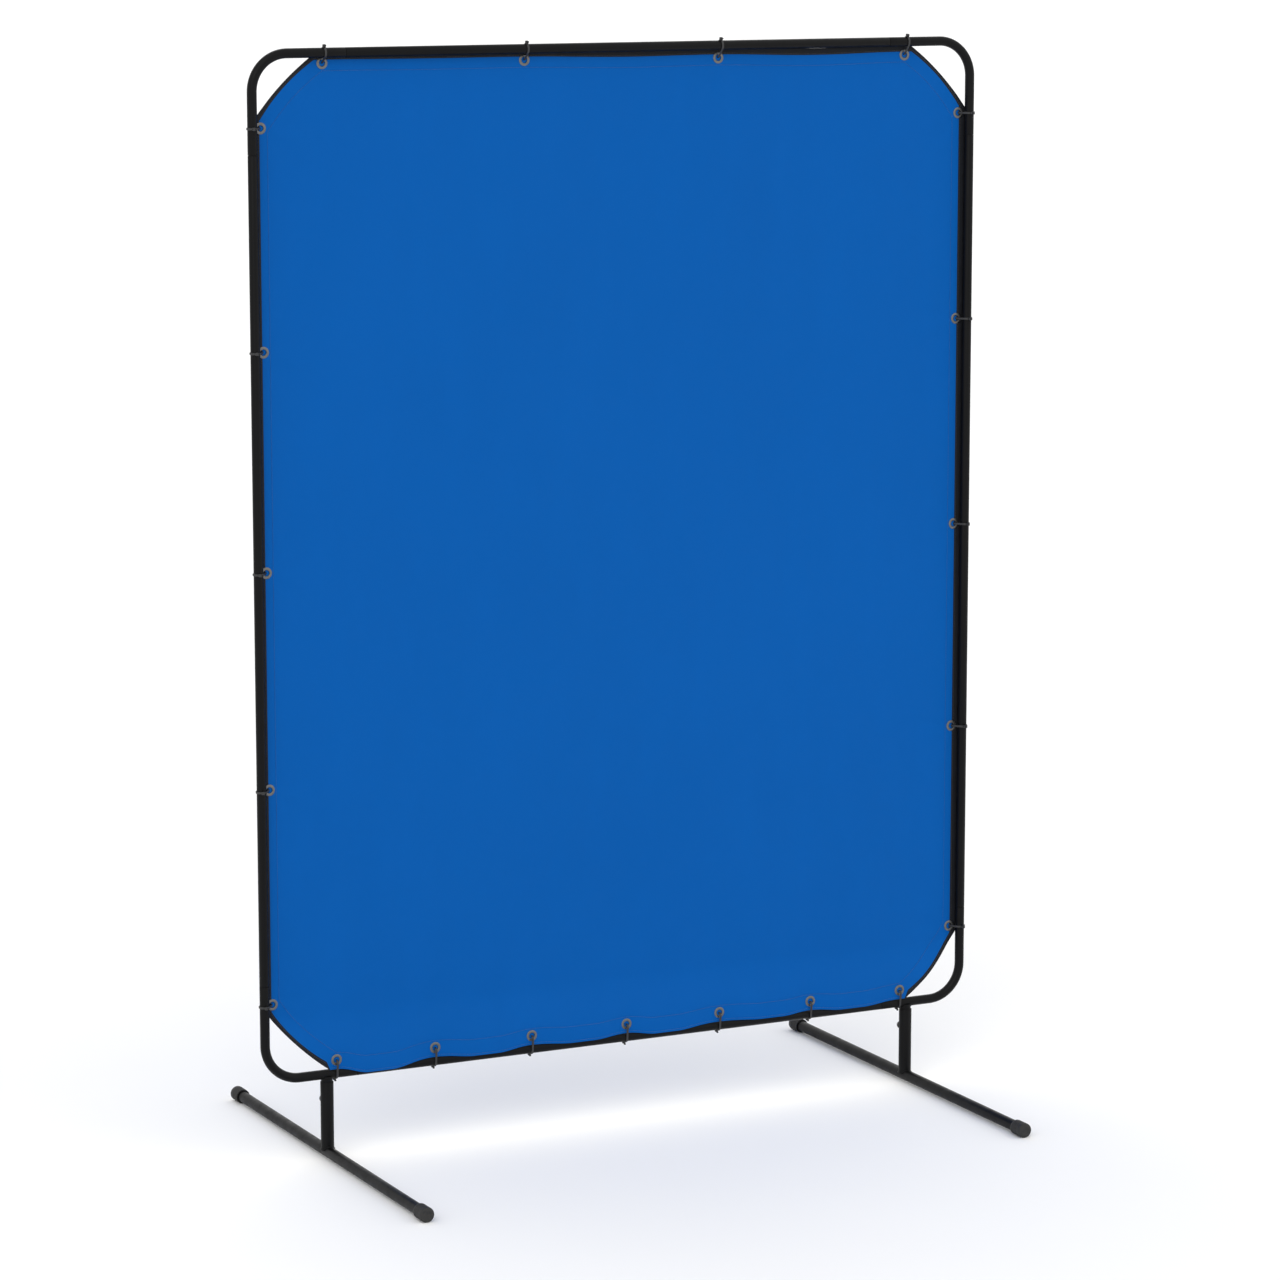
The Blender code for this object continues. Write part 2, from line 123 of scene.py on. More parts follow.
class FrameSettings(bpy.types.PropertyGroup):
    """Sizes of the tubes and their joints."""

    bend: FloatProperty(
        name="Bend radius", description="Corner bend, on the tube's centreline", default=0.06, unit="LENGTH"
    )
    wall: FloatProperty(
        name="Tube wall", description="Thickness of every tube's wall", default=0.0012, unit="LENGTH"
    )
    edge: FloatProperty(
        name="Edge rounding", description="Rounding on cut tube ends", default=0.0006, unit="LENGTH"
    )
    sides: IntProperty(name="Tube facets", description="Flat strips round each tube", default=32, min=12)
    bead: FloatProperty(
        name="Weld bead", description="Radius of the weld beads", default=0.0015, unit="LENGTH"
    )
    paint: FloatVectorProperty(
        name="Paint", description="Powder coat colour", default=(0.0028, 0.0028, 0.0031), subtype="COLOR"
    )


class CurtainSettings(bpy.types.PropertyGroup):
    """Sizes and colours of the curtain."""

    thickness: FloatProperty(
        name="Vinyl thickness", description="Thickness of the coated cloth", default=0.0005, unit="LENGTH"
    )
    cut: FloatProperty(
        name="Corner cut", description="Leg of each cut-off corner", default=0.112, unit="LENGTH"
    )
    bulge: FloatProperty(
        name="Corner bulge", description="How far a corner cut bows outwards", default=0.007, unit="LENGTH"
    )
    # The bindings at the sides and top are wider than the one at the cuts: their extra width is painted
    # shadow, a black band standing in for the shade the tubes cast on the curtain.
    side_binding_and_shadow: FloatProperty(
        name="Side binding", description="Width of the binding at the sides", default=0.0145, unit="LENGTH"
    )
    top_binding: FloatProperty(
        name="Top binding", description="Width of the binding at the top", default=0.0105, unit="LENGTH"
    )
    cut_binding: FloatProperty(
        name="Corner binding", description="Width of the binding at the cuts", default=0.0055, unit="LENGTH"
    )
    hem: FloatProperty(name="Hem", description="Width of the folded hem", default=0.031, unit="LENGTH")
    stitch: FloatProperty(
        name="Stitch pitch", description="From one stitch to the next", default=0.0046, unit="LENGTH"
    )
    fullness: FloatProperty(
        name="Fullness", description="Height of the waves in the sheet", default=0.0035, unit="LENGTH"
    )
    blue: FloatVectorProperty(
        name="Vinyl", description="Vinyl colour", default=(0.0005, 0.092, 0.372), subtype="COLOR"
    )
    black: FloatVectorProperty(
        name="Binding", description="Binding colour", default=(0.004, 0.005, 0.008), subtype="COLOR"
    )


class TieSettings(bpy.types.PropertyGroup):
    """Sizes of the cable ties."""

    width: FloatProperty(
        name="Strap width", description="Width of the strap", default=0.0036, unit="LENGTH"
    )
    thickness: FloatProperty(
        name="Strap thickness", description="Thickness of the strap", default=0.0012, unit="LENGTH"
    )
    tail: FloatProperty(
        name="Tail", description="Shortest length of the cut tails", default=0.003, unit="LENGTH"
    )
    extra: IntProperty(
        name="Extra ties", description="Ties between the bottom ones of the frame", default=3, min=0, max=3
    )


# Materials


class Finish:
    """A node material, built up from noise and wave textures in metres."""

    def __init__(self, name, roughness, metallic=0.0, **fixed):
        self.material = bpy.data.materials.new(name)
        self.material.use_nodes = True
        self.nodes = self.material.node_tree.nodes
        self.links = self.material.node_tree.links
        self.shader = self.nodes["Principled BSDF"]
        self.shader.inputs["Roughness"].default_value = roughness
        self.shader.inputs["Metallic"].default_value = metallic
        for socket, value in fixed.items():
            self.shader.inputs[socket.replace("_", " ").title().replace("Ior", "IOR")].default_value = value
        self.place = self.nodes.new("ShaderNodeTexCoord").outputs["Object"]
        self.normal = None

    def feed(self, socket, value):
        """Links a node's output to the socket, or sets its value."""
        if isinstance(value, bpy.types.NodeSocket):
            self.links.new(value, socket)
        else:
            socket.default_value = value

    def node(self, kind, settings=None, **inputs):
        made = self.nodes.new(kind)
        for name, value in (settings or {}).items():
            setattr(made, name, value)
        for name, value in inputs.items():
            self.feed(made.inputs[name.replace("_", " ").title()], value)
        return made

    def noise(self, scale, detail=3.0, roughness=0.5, stretch=None):
        place = self.place
        if stretch:
            place = self.node("ShaderNodeMapping", Vector=place, Scale=stretch).outputs["Vector"]
        inputs = {"Vector": place, "Scale": scale, "Detail": detail, "Roughness": roughness}
        return self.node("ShaderNodeTexNoise", **inputs).outputs["Fac"]

    def cells(self, scale):
        return self.node("ShaderNodeTexVoronoi", Vector=self.place, Scale=scale).outputs["Distance"]

    def bands(self, pitch, axis, waviness=0.0):
        """Ridges this far apart, in metres."""
        made = self.node(
            "ShaderNodeTexWave",
            {"bands_direction": axis},
            Vector=self.place,
            Scale=math.tau / 20 / pitch,
            Distortion=waviness,
        )
        return made.outputs["Fac"]

    def between(self, value, low, high, start=0.0, end=1.0):
        """The value, taken from the range start to end over to the range low to high."""
        ends = {"From_Min": start, "From_Max": end, "To_Min": low, "To_Max": high}
        return self.node("ShaderNodeMapRange", Value=value, **ends).outputs["Result"]

    def times(self, first, second):
        made = self.node("ShaderNodeMath", {"operation": "MULTIPLY"})
        for socket, value in zip(made.inputs, (first, second)):
            self.feed(socket, value)
        return made.outputs["Value"]

    def blend(self, factor, first, second):
        """Mix of two colours."""
        made = self.node("ShaderNodeMix", {"data_type": "RGBA"})
        self.feed(made.inputs[0], factor)
        for socket, value in zip(made.inputs[6:8], (first, second)):
            self.feed(socket, (*value, 1.0) if isinstance(value, tuple) else value)
        return made.outputs[2]

    def colour(self, value):
        self.links.new(value, self.shader.inputs["Base Color"])

    def roughness(self, value):
        self.links.new(value, self.shader.inputs["Roughness"])

    def bump(self, height, depth, strength=1.0):
        """Relief this deep, in metres, on top of what is there."""
        made = self.node("ShaderNodeBump", Height=height, Distance=depth, Strength=strength)
        if self.normal:
            self.links.new(self.normal, made.inputs["Normal"])
        self.normal = made.outputs["Normal"]
        self.links.new(self.normal, self.shader.inputs["Normal"])


def tint(colour, factor):
    return tuple(min(channel * factor, 1.0) for channel in colour)


def powder_coat(colour):
    """Satin powder coat: fine orange peel, rubbed patches and a few pale scuffs."""
    made = Finish("black_powder_coat", 0.4, ior=1.5, specular_ior_level=0.12)
    tone = made.noise(9.0, 4.0)
    dust = made.noise(55.0, 5.0, 0.65)
    base = made.blend(tone, tint(colour, 0.8), tint(colour, 1.5))
    scuffs = made.between(made.noise(130.0, 6.0, 0.7, (1.0, 1.0, 0.35)), 0.0, 1.0, 0.70, 0.78)
    base = made.blend(scuffs, base, (0.030, 0.030, 0.031))
    made.colour(base)
    made.roughness(made.between(dust, 0.30, 0.52, 0.3, 0.7))
    made.bump(made.noise(900.0, 2.0), 0.00005, 0.6)
    made.bump(made.noise(160.0, 2.0), 0.00012, 0.35)
    return made.material


def vinyl(colour):
    """Vinyl-coated cloth: the weave shows through the coating, with faint handling marks."""
    made = Finish("blue_vinyl", 0.48, ior=1.45, specular_ior_level=0.06)
    cloudy = made.noise(3.0, 4.0, 0.55)
    streaks = made.noise(14.0, 4.0, 0.6, (1.0, 1.0, 0.25))
    base = made.blend(cloudy, tint(colour, 0.96), tint(colour, 1.05))
    base = made.blend(made.between(streaks, 0.0, 0.5, 0.45, 0.8), base, tint(colour, 1.07))
    weave = made.times(made.bands(0.0011, "X", 0.4), made.bands(0.0011, "Z", 0.4))
    base = made.blend(made.between(weave, 0.0, 0.6), base, tint(colour, 0.70))
    made.colour(base)
    made.roughness(made.between(made.noise(22.0, 5.0, 0.6), 0.42, 0.56, 0.3, 0.7))
    made.bump(weave, 0.00016, 0.8)
    made.bump(made.noise(420.0, 3.0), 0.00004, 0.4)
    made.bump(made.noise(26.0, 3.0), 0.0006, 0.25)
    return made.material


def webbing(colour):
    """Black woven binding: diagonal rib and dusty high threads."""
    made = Finish("black_webbing", 0.75, ior=1.45, specular_ior_level=0.3, sheen_weight=0.03)
    made.shader.inputs["Sheen Roughness"].default_value = 0.5
    rib = made.times(made.bands(0.0016, "DIAGONAL", 0.6), made.bands(0.0009, "Z", 0.5))
    dusty = made.between(made.noise(70.0, 5.0, 0.6), 0.0, 1.0, 0.35, 0.75)
    base = made.blend(dusty, tint(colour, 0.8), tint(colour, 1.7))
    base = made.blend(made.between(rib, 0.0, 0.4), base, tint(colour, 0.5))
    made.colour(base)
    made.roughness(made.between(dusty, 0.68, 0.85))
    made.bump(rib, 0.00018, 0.8)
    return made.material


def thread(name, colour):
    """Twisted sewing thread, with a painted highlight on the ridges of its twist and painted shade in its
    grooves.
    """
    made = Finish(name, 0.6, ior=1.45, sheen_weight=0.2)
    twist_ridges_and_shade = made.bands(0.0005, "DIAGONAL", 0.2)
    # Colour follows the twist: painted highlight on the ridges, painted shade in the grooves.
    made.colour(made.blend(twist_ridges_and_shade, tint(colour, 0.75), tint(colour, 1.4)))
    made.bump(twist_ridges_and_shade, 0.00008, 0.8)
    return made.material


def plated(name, colour, roughness):
    """Plated metal: fine brushing, with dull and slightly stained patches."""
    made = Finish(name, roughness, 1.0)
    stain = made.noise(160.0, 5.0, 0.6)
    brushed = made.noise(700.0, 3.0, 0.5, (1.0, 1.0, 8.0))
    warm = (colour[0] * 0.72, colour[1] * 0.66, colour[2] * 0.52)
    made.colour(made.blend(made.between(stain, 0.0, 0.7, 0.42, 0.75), colour, warm))
    made.roughness(made.between(brushed, roughness * 0.75, roughness * 1.35, 0.3, 0.7))
    made.bump(brushed, 0.00002, 0.5)
    made.bump(made.cells(420.0), 0.00003, 0.25)
    return made.material


def nylon():
    """Black moulded nylon."""
    made = Finish("black_nylon", 0.42, ior=1.53)
    flow = made.noise(260.0, 4.0, 0.6)
    made.colour(made.blend(flow, (0.007, 0.007, 0.008), (0.018, 0.018, 0.019)))
    made.roughness(made.between(flow, 0.34, 0.50, 0.3, 0.7))
    made.bump(made.noise(1500.0, 2.0), 0.00003, 0.6)
    return made.material


def rubber():
    """Black rubber, dusty and scratched from standing on a workshop floor."""
    made = Finish("black_rubber", 0.8, ior=1.5)
    dust = made.between(made.noise(120.0, 6.0, 0.7), 0.0, 1.0, 0.45, 0.8)
    made.colour(made.blend(dust, (0.010, 0.010, 0.010), (0.040, 0.038, 0.035)))
    made.roughness(made.between(dust, 0.66, 0.92))
    made.bump(made.noise(1100.0, 3.0), 0.00006, 0.8)
    made.bump(made.cells(260.0), 0.00010, 0.35)
    return made.material


def pale_floor():
    """Pale matt floor."""
    made = Finish("pale_floor", 0.9, specular_ior_level=0.2)
    cloudy = made.noise(1.5, 3.0)
    made.colour(made.blend(cloudy, (0.90, 0.90, 0.90), (0.93, 0.93, 0.93)))
    return made.material


FINISHES = {}


def finish(name, maker, *values):
    """The named material, made the first time it is asked for."""
    if name not in FINISHES:
        FINISHES[name] = maker(*values)
    return FINISHES[name]


def paint():
    return finish("paint", powder_coat, tuple(bpy.context.scene.screen_frame.paint))


def zinc():
    return finish("zinc", plated, "zinc_plate", (0.60, 0.61, 0.63), 0.36)


# Mesh building


class Build:
    """Points and faces of one mesh, in the frame's coordinates."""

    def __init__(self):
        self.points = []
        self.faces = []

    def loft(self, rings, loop=False, capped=False):
        """Skins a list of equal rings of points."""
        base, around, count = len(self.points), len(rings[0]), len(rings)
        for ring in rings:
            self.points += ring
        for step in range(count if loop else count - 1):
            here, there = base + step * around, base + (step + 1) % count * around
            for side in range(around):
                after = (side + 1) % around
                self.faces.append((here + side, here + after, there + after, there + side))
        if capped:
            self.faces.append(tuple(range(base + around - 1, base - 1, -1)))
            last = base + (count - 1) * around
            self.faces.append(tuple(range(last, last + around)))

    def revolve(self, profile, place, sides, loop=False):
        """Spins (radius, height) points about the placed Z axis."""
        rings = [circle(place, radius, height, sides) for radius, height in profile]
        self.loft(rings, loop=loop, capped=not loop)

    def bead(self, path, radius, ripple=0.07, pitch=0.0019):
        """Weld bead along a closed path, with the ripples that each step of the weld leaves."""
        for _ in range(6):
            around = zip(path[-1:] + path[:-1], path, path[1:] + path[:1])
            path = [(before + point + after) / 3 for before, point, after in around]
        middle = sum(path, Vector()) / len(path)
        rings, run = [], 0.0
        for step, point in enumerate(path):
            around = point - middle
            before, after = path[step - 1], path[(step + 1) % len(path)]
            run += (point - before).length
            tangent = (after - before).normalized()
            first = tangent.cross(around).normalized()
            second = tangent.cross(first)
            swell = radius * (1 + ripple * math.sin(math.tau * run / pitch))
            offsets = [first * math.cos(angle) + second * math.sin(angle) for angle in turns(8)]
            rings.append([point + offset * swell for offset in offsets])
        self.loft(rings, loop=True)

    def block(self, place, sizes, rounding):
        """Box with rounded edges."""
        shape = bmesh.new()
        bmesh.ops.create_cube(shape, size=1, matrix=Matrix.Diagonal((*sizes, 1)))
        edges = list(shape.edges)
        bmesh.ops.bevel(shape, geom=edges, offset=rounding, segments=3, profile=0.5, affect="EDGES")
        base = len(self.points)
        shape.verts.index_update()
        self.points += [place @ vert.co for vert in shape.verts]
        self.faces += [tuple(base + vert.index for vert in face.verts) for face in shape.faces]
        shape.free()

    def mesh(self, name, material, sharp=35):
        mesh = bpy.data.meshes.new(name)
        mesh.from_pydata([tuple(point) for point in self.points], [], self.faces)
        shape = bmesh.new()
        shape.from_mesh(mesh)
        bmesh.ops.recalc_face_normals(shape, faces=shape.faces)
        shape.to_mesh(mesh)
        shape.free()
        mesh.shade_smooth()
        mesh.set_sharp_from_angle(angle=math.radians(sharp))
        mesh.materials.append(material)
        return mesh

    def piece(self, name, material, body, slot, replaces=(), sharp=35):
        """Adds the mesh as a piece that rides on a body and stands for some nodes."""
        return add_piece(name, self.mesh(name, material, sharp), body, replaces)


def add_piece(name, mesh, body, replaces=()):
    piece = bpy.data.objects.new(name, mesh)
    bpy.context.scene.collection.objects.link(piece)
    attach(piece, body)
    if replaces:
        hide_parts(*replaces)
    return piece


def turns(count):
    """Angles of so many equal steps round a circle."""
    return [math.tau * step / count for step in range(count)]


def polar(radius, angle, height=0.0):
    return Vector((math.cos(angle) * radius, math.sin(angle) * radius, height))


def circle(place, radius, height, sides):
    return [place @ polar(radius, angle, height) for angle in turns(sides)]


def even(start, end, count):
    return [start + (end - start) * step / (count - 1) for step in range(count)]


def smooth(share):
    """Eases from 0 to 1."""
    share = min(max(share, 0.0), 1.0)
    return share * share * (3 - 2 * share)


# Frame


def corner_sections(bend):
    """(place, turn about Y) along the upper left corner: top leg, bend, side leg."""
    sections = [(Vector((LEG, 0, 0)), 0.0), (Vector((LEG - STRAIGHT_END, 0, 0)), 0.0)]
    for step in range(25):
        turn = math.pi / 2 * step / 24
        out = Vector((-math.sin(turn), 0, math.cos(turn)))
        sections.append((Vector((bend, 0, -bend)) + out * bend, turn))
    below = [Vector((0, 0, STRAIGHT_END - LEG)), Vector((0, 0, -LEG))]
    return sections + [(place, math.pi / 2) for place in below]


def corner_tube(build, place, settings):
    """Tube bent through a right angle, open at both ends, and a little oval in its bend."""
    rings = []

    def ring(point, turn, radius, squeeze=0.0):
        out = Vector((-math.sin(turn), 0, math.cos(turn)))
        made = []
        for angle in turns(settings.sides):
            across = Vector((0, math.sin(angle) * radius * (1 + squeeze), 0))
            made.append(place @ (point + out * (math.cos(angle) * radius * (1 - squeeze)) + across))
        rings.append(made)

    edge, inner = settings.edge, TUBE - settings.wall
    opening = [(inner, BORE_DEPTH), (inner, edge / 2), (inner + edge / 3, 0.0)]
    opening += [(TUBE - edge, 0.0), (TUBE - edge * 0.3, edge * 0.3), (TUBE, edge)]
    (first, first_turn), *middle, (last, last_turn) = corner_sections(settings.bend)
    for radius, depth in opening:
        ring(first - Vector((depth, 0, 0)), first_turn, radius)
    for point, turn in middle:
        ring(point, turn, TUBE, 0.02 * math.sin(turn * 2))
    for radius, depth in reversed(opening):
        ring(last + Vector((0, 0, depth)), last_turn, radius)
    build.loft(rings, capped=True)


def rail(build, place, half, settings):
    """Straight tube about the placed Z axis, with a reduced end that goes into each corner tube."""
    swage = TUBE - settings.wall - GAP
    edge = settings.edge
    upper = [(swage, half + 0.03), (swage, half), (TUBE - edge, half)]
    upper += [(TUBE - edge * 0.3, half - edge * 0.3), (TUBE, half - edge)]
    lower = [(radius, -height) for radius, height in reversed(upper)]
    build.revolve(upper + lower, place, settings.sides)


def column(build, place, levels):
    """Upright tube from a list of (radius, height for each angle)."""
    rings = []
    for radius, height_at in levels:
        rings.append([place @ polar(radius, angle, height_at(angle)) for angle in turns(48)])
    build.loft(rings, capped=True)


def level(height):
    return lambda angle: height


class WELDSCREEN_OT_add_frame(bpy.types.Operator):
    """Add the frame's corner tubes, rails and welded spigots"""

    bl_idname = "weldscreen.add_frame"
    bl_label = "Add Frame"

    def execute(self, context):
        settings = context.scene.screen_frame
        corners = [("top_left", -1, TOP), ("top_right", 1, TOP)]
        corners += [("bottom_right", 1, BOTTOM), ("bottom_left", -1, BOTTOM)]
        for quarter, (name, sign, height) in enumerate(corners):
            build = Build()
            turned = Matrix.Rotation(math.pi / 2 * quarter, 4, "Y")
            corner_tube(build, Matrix.Translation((sign * RIGHT, 0, height)) @ turned, settings)
            build.piece(f"{name}_bend", paint(), "screen", "frame_paint", [f"{name}_corner"])
        across, upright = RIGHT - LEG - GAP, (TOP - BOTTOM) / 2 - LEG - GAP
        rails = (
            ("top", Matrix.Translation((0, 0, TOP)) @ ALONG_X, across),
            ("bottom", Matrix.Translation((0, 0, BOTTOM)) @ ALONG_X, across),
            ("left", Matrix.Translation((-RIGHT, 0, (TOP + BOTTOM) / 2)), upright),
            ("right", Matrix.Translation((RIGHT, 0, (TOP + BOTTOM) / 2)), upright),
        )
        for name, place, half in rails:
            build = Build()
            rail(build, place, half, settings)
            build.piece(f"{name}_tube", paint(), "screen", "frame_paint", [f"{name}_rail"])
        for side, sign in SIDES:
            self.add_spigot(settings, side, sign)
        return {"FINISHED"}

    def add_spigot(self, settings, side, sign):
        """Short tube welded under the bottom rail, which the post slides onto."""
        place = Matrix.Translation((sign * POST_X, 0, BOTTOM))
        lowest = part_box(f"{side}_spigot")[0].z - BOTTOM

        def under_rail(angle):
            y = SPIGOT * math.sin(angle)
            return min(-0.004, -math.sqrt(max(TUBE * TUBE - y * y, 0.0)))

        build = Build()
        inner = SPIGOT - 0.0015
        rings = [(inner, level(lowest + 0.02)), (inner, level(lowest)), (SPIGOT - 0.0006, level(lowest))]
        rings += [(SPIGOT, level(lowest + 0.0006)), (SPIGOT, under_rail), (inner, under_rail)]
        column(build, place, rings)
        path = [place @ polar(SPIGOT, angle, under_rail(angle) - 0.0002) for angle in turns(120)]
        build.bead(path, settings.bead * 0.9)
        build.piece(f"{side}_spigot_welded", paint(), "screen", "frame_paint", [f"{side}_spigot"])


# Feet


class WELDSCREEN_OT_add_feet(bpy.types.Operator):
    """Add the posts, foot tubes and rubber caps"""

    bl_idname = "weldscreen.add_feet"
    bl_label = "Add Feet"

    def execute(self, context):
        settings = context.scene.screen_frame
        for side, sign in SIDES:
            body = f"{side}_foot"
            self.add_post(settings, side, sign, body)
            build = Build()
            place = Matrix.Translation((sign * POST_X, 0, FOOT_Z)) @ ALONG_Y
            build.revolve([(FOOT, -FOOT_END), (FOOT, FOOT_END)], place, 40)
            build.piece(f"{side}_foot_bar", paint(), body, "frame_paint", [f"{side}_foot_tube"])
            for end, way in ENDS:
                self.add_cap(side, sign, end, way, body)
        return {"FINISHED"}

    def add_post(self, settings, side, sign, body):
        """Upright tube saddled on the foot bar, with its weld bead and the threaded boss on its back."""
        place = Matrix.Translation((sign * POST_X, 0, FOOT_Z))
        top, edge = POST_TOP - FOOT_Z, settings.edge

        def saddle(angle):
            x = POST * math.cos(angle)
            return max(0.0045, math.sqrt(max(FOOT * FOOT - x * x, 0.0)))

        build = Build()
        inner = POST - settings.wall
        rings = [(inner, saddle), (POST, saddle), (POST, level(0.02)), (POST, level(top - edge))]
        rings += [(POST - edge * 0.3, level(top - edge * 0.3)), (POST - edge, level(top))]
        rings += [(inner + 0.0002, level(top)), (inner, level(top - 0.0003)), (inner, level(top - 0.03))]
        column(build, place, rings)
        path = [place @ polar(POST, angle, saddle(angle) - 0.0002) for angle in turns(140)]
        build.bead(path, settings.bead * 1.15)
        at_bolt = Matrix.Translation((sign * POST_X, 0, BOLT_Z)) @ ALONG_Y
        profile = [(BOLT_BORE, BOSS_FACE - 0.006), (BOLT_BORE, BOSS_FACE - 0.0004)]
        profile += [(BOLT_BORE + 0.0004, BOSS_FACE), (BOSS - 0.0009, BOSS_FACE)]
        profile += [(BOSS - 0.0002, BOSS_FACE - 0.0003), (BOSS, BOSS_FACE - 0.0009), (BOSS, POST * 0.6)]
        build.revolve(profile, at_bolt, 48)
        path = []
        for angle in turns(90):
            height = math.sqrt(POST * POST - (BOSS * math.cos(angle)) ** 2)
            path.append(at_bolt @ polar(BOSS, angle, height))
        build.bead(path, settings.bead * 0.75, pitch=0.0018)
        build.piece(f"{side}_post_welded", paint(), body, "frame_paint", [f"{side}_post"])

    def add_cap(self, side, sign, end, way, body):
        """Rubber cup with grip rings and a domed end, flat where it stands."""
        open_end = CAP_END - CAP_LENGTH
        inner, lip = FOOT + 0.0002, 0.0006
        profile = [(inner, 0.02), (inner, lip), (inner + lip, 0), (CAP - lip, 0), (CAP - 0.0001, lip)]
        height = 0.0045
        for _ in range(4):
            groove = CAP - 0.0006
            profile += [(CAP, height), (groove, height + 0.0004)]
            profile += [(groove, height + 0.0012), (CAP, height + 0.0016)]
            height += 0.0042
        dome = 0.0032
        for step in range(8):
            angle = math.pi / 2 * step / 7
            radius = CAP - dome + dome * math.cos(angle)
            profile.append((radius, CAP_LENGTH - dome + dome * math.sin(angle)))
        profile += [(CAP * 0.55, CAP_LENGTH), (CAP * 0.5, CAP_LENGTH - 0.0006)]
        profile += [(0.0004, CAP_LENGTH - 0.0008)]
        facing = Matrix.Rotation(-way * math.pi / 2, 4, "X")
        place = Matrix.Translation((sign * POST_X, way * open_end, FOOT_Z)) @ facing
        build = Build()
        build.revolve(profile, place, 48)
        build.points = [Vector((point.x, point.y, max(point.z, 0.0))) for point in build.points]
        rubbery = finish("rubber", rubber)
        build.piece(f"{side}_{end}_foot_cap", rubbery, body, "cap_rubber", [f"{side}_{end}_cap"], sharp=50)


class WELDSCREEN_OT_add_clamps(bpy.types.Operator):
    """Add the clamp bolts and their washers"""

    bl_idname = "weldscreen.add_clamps"
    bl_label = "Add Clamp Bolts"

    def execute(self, context):
        for side, sign in SIDES:
            place = Matrix.Translation((sign * POST_X, 0, BOLT_Z)) @ ALONG_Y
            near, far = WASHER_FACES
            edge = 0.0002
            build = Build()
            profile = [(BOLT_BORE, near + edge), (BOLT_BORE + edge, near)]
            profile += [(WASHER - edge, near), (WASHER, near + edge), (WASHER, far - edge)]
            profile += [(WASHER - edge, far), (BOLT_BORE + edge, far), (BOLT_BORE, far - edge)]
            build.revolve(profile, place, 48, loop=True)
            stands_for = [f"{side}_clamp_washer"]
            build.piece(f"{side}_plain_washer", zinc(), f"{side}_washer", "bolt_zinc", stands_for, sharp=50)
            build = Build()
            self.hex_head(build, place, far + GAP, HEAD_TOP)
            self.thread(build, place, BOLT_TIP, far + GAP)
            stands_for = [f"{side}_clamp_bolt"]
            build.piece(f"{side}_hex_bolt", zinc(), f"{side}_bolt", "bolt_zinc", stands_for, sharp=28)
        return {"FINISHED"}

    def hex_head(self, build, place, low, high):
        """Six-sided head with a chamfered crown and a washer face under it."""
        slant = math.cos(math.radians(30))
        flats = min(size("left_clamp_bolt").x / 2 * slant, 0.005)
        corner = flats / slant
        levels = [(flats * 0.93, low), (flats * 0.93, low + 0.0003), (corner * 0.985, low + 0.0003)]
        levels += [(corner, low + 0.0005), (corner, high - 0.0011), (flats * 1.04, high - 0.0004)]
        levels += [(flats * 0.94, high), (flats * 0.6, high)]
        levels += [(flats * 0.56, high - 0.0003), (0.0002, high - 0.0003)]
        rings = []
        for limit, height in levels:
            ring = []
            for angle in turns(60):
                across = (angle + math.pi / 6) % (math.pi / 3) - math.pi / 6
                radius = min(limit, flats / math.cos(across)) if limit > flats * 0.95 else limit
                ring.append(place @ polar(radius, angle, height))
            rings.append(ring)
        build.loft(rings, capped=True)

    def thread(self, build, place, low, high):
        """Shank with a helical thread."""
        rings = []
        for height in even(low, high, int((high - low) / BOLT_PITCH * 8) + 1):
            depth = BOLT / 6 * smooth((height - low) / 0.0006)
            ring = []
            for angle in turns(24):
                turn = (height / BOLT_PITCH - angle / math.tau) % 1.0
                ring.append(place @ polar(BOLT - depth * abs(2 * turn - 1), angle, height))
            rings.append(ring)
        build.loft(rings, capped=True)


# Curtain


def tie_columns():
    """x of every bottom tie, the extra ones between the frame's own among them."""
    own = sorted(centre(f"{name}_grommet").x for name in BOTTOM_TIES)
    extra = bpy.context.scene.screen_ties.extra
    between = [(first + second) / 2 for first, second in zip(own, own[1:])][:extra]
    return sorted(own + between)


def flop(x, columns):
    """How far the hem falls in front of the bottom rail, from 0 at a tie to 1 in the middle of a span."""
    for number, (left, right) in enumerate(zip(columns, columns[1:])):
        if left < x < right:
            share = (x - left) / (right - left)
            skew = 0.09 * math.sin(number * 2.4 + 1.0)
            share += skew * math.sin(math.pi * share)
            fall = (0.90, 0.55, 0.46, 0.58, 0.42, 0.50)[number % 6]
            return fall * smooth(min(share, 1 - share) / 0.38)
    return 0.0


def droop(x):
    """How far the top edge hangs below its place: slack towards the right, and a little between ties."""
    columns = TOP_COLUMNS
    fall = 0.0055 * smooth((x - columns[0]) / (columns[-1] - columns[0]))
    for depth, left, right in zip((0.0008, 0.0022, 0.0030), columns, columns[1:]):
        if left < x < right:
            share = (x - left) / (right - left)
            fall += depth * math.sin(math.pi * share) ** 2
    return fall


